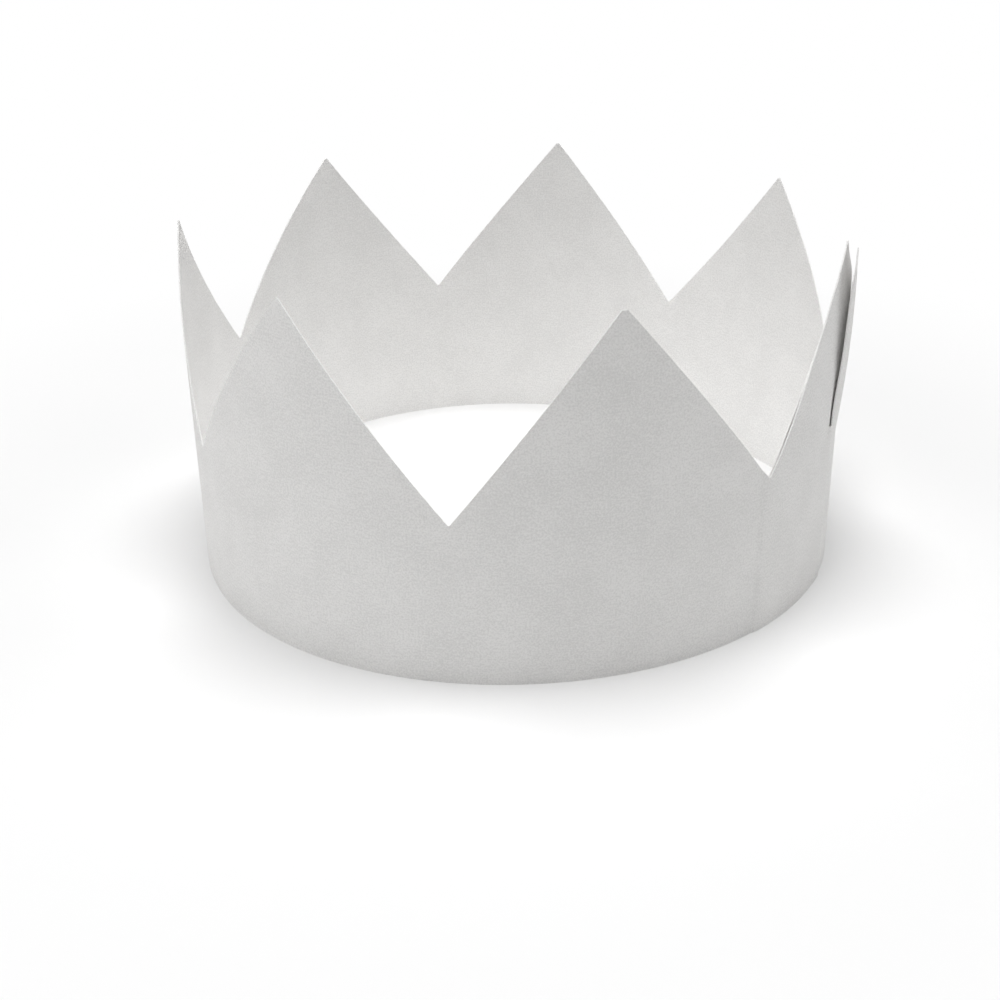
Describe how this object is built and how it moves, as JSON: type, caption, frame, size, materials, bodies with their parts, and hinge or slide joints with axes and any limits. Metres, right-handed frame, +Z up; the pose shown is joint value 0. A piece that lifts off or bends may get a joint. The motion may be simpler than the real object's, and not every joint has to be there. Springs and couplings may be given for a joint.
{
  "type": "paper crown",
  "caption": "Paper crown: a strip of white card with pointed teeth along its top, bent into a ring and closed by slits cut in its own ends.",
  "frame": {"origin": "Middle of the footprint, on the surface the crown stands on.", "axes": "+Z is up. The picture is taken from -Y, so -Y is the front and +X is the right, where the closure is."},
  "size_m": [0.1664, 0.1698, 0.085],
  "materials": {
    "card": "matte"
  },
  "bodies": {
    "root": {"crown_band": "card"}
  },
  "joints": []
}
